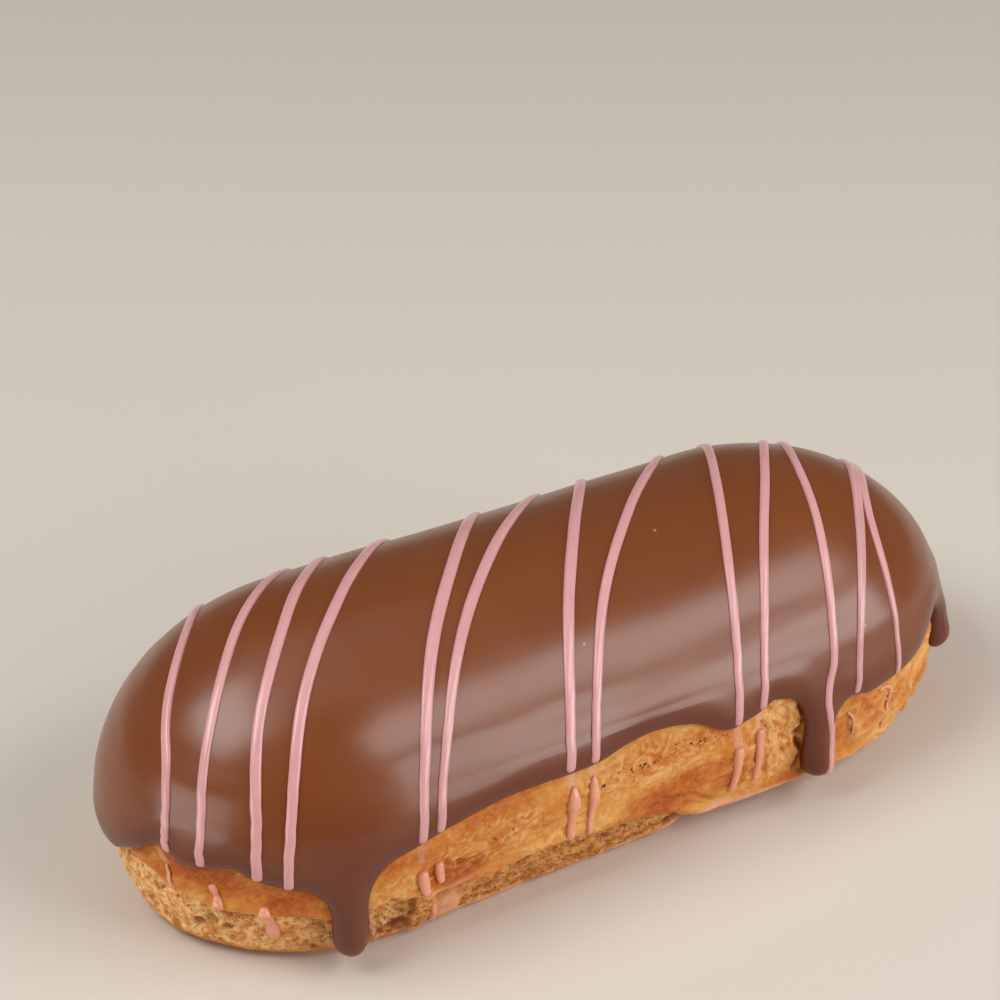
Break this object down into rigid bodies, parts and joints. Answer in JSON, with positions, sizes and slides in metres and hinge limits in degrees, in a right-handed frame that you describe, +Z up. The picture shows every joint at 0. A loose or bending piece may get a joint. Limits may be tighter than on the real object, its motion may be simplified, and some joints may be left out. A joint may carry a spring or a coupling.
{
  "type": "eclair",
  "caption": "Oblong choux pastry with a smooth coat of milk chocolate icing that drips down its sides, crossed by thin piped lines of pink icing.",
  "frame": {"origin": "on the surface that the eclair rests on, under the middle of its outline", "axes": "+X along the eclair, +Z up; -Y is the side with the three icing drips"},
  "size_m": [0.1398, 0.0598, 0.0435],
  "materials": {
    "baked_choux": "baked golden brown crust, matte, pored",
    "chocolate_icing": "satin milk chocolate",
    "pink_icing": "satin pastel pink"
  },
  "bodies": {
    "root": {"choux": "baked_choux", "icing": "chocolate_icing", "piped_line_01": "pink_icing", "piped_line_02": "pink_icing", "piped_line_03": "pink_icing", "piped_line_04": "pink_icing", "piped_line_05": "pink_icing", "piped_line_06": "pink_icing", "piped_line_07": "pink_icing", "piped_line_08": "pink_icing", "piped_line_09": "pink_icing", "piped_line_10": "pink_icing", "piped_line_11": "pink_icing", "piped_line_12": "pink_icing"}
  },
  "joints": []
}
